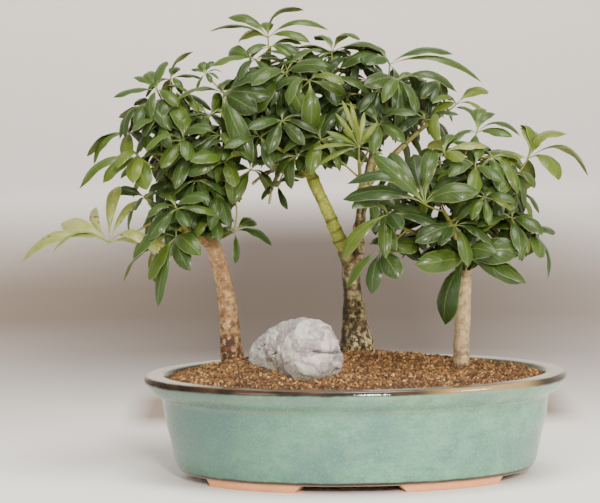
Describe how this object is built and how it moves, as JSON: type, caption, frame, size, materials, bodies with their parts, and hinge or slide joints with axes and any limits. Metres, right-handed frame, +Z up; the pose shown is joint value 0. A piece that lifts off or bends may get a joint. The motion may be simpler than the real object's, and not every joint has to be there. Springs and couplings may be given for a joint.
{
  "type": "bonsai forest in a pot",
  "caption": "Small umbrella tree (Schefflera) forest with slender trunks, spreading compound leaves and a pale stone, in gravel soil in an oval glazed pot on low feet.",
  "frame": {"origin": "middle of the whole object's box, on the surface that the pot stands on", "axes": "+Z up, +X along the pot's length to the right of the front view, -Y towards the viewer of the front"},
  "size_m": [0.412, 0.27, 0.3367],
  "materials": {
    "pot": "mottled sea-green glaze, dark brown at the rim, with bare terracotta feet",
    "soil": "loose matt tan and brown gravel over soil",
    "stone": "rough matt pale grey",
    "screen": "matt black net",
    "bark": "tan and grey bark with leaf-scar rings, green on young wood",
    "leaf": "glossy leathery green leaves with paler midribs, stalks and stems"
  },
  "bodies": {
    "root": {"pot": "pot", "soil": "soil", "stone": "stone", "drain_screen_left": "screen", "drain_screen_right": "screen", "trunk_left": "bark", "trunk_centre": "bark", "trunk_right": "bark", "left_low": "leaf", "left_side": "leaf", "left_top": "leaf", "left_tip": "leaf", "left_front": "leaf", "left_right": "leaf", "left_back": "leaf", "centre_left": "leaf", "centre_top": "leaf", "centre_middle": "leaf", "centre_peak": "leaf", "centre_right": "leaf", "centre_far_right": "leaf", "centre_young": "leaf", "centre_low": "leaf", "centre_back_left": "leaf", "centre_back_right": "leaf", "right_low": "leaf", "right_front": "leaf", "right_left": "leaf", "right_side": "leaf", "right_top": "leaf", "right_far": "leaf", "right_back": "leaf"}
  },
  "joints": []
}
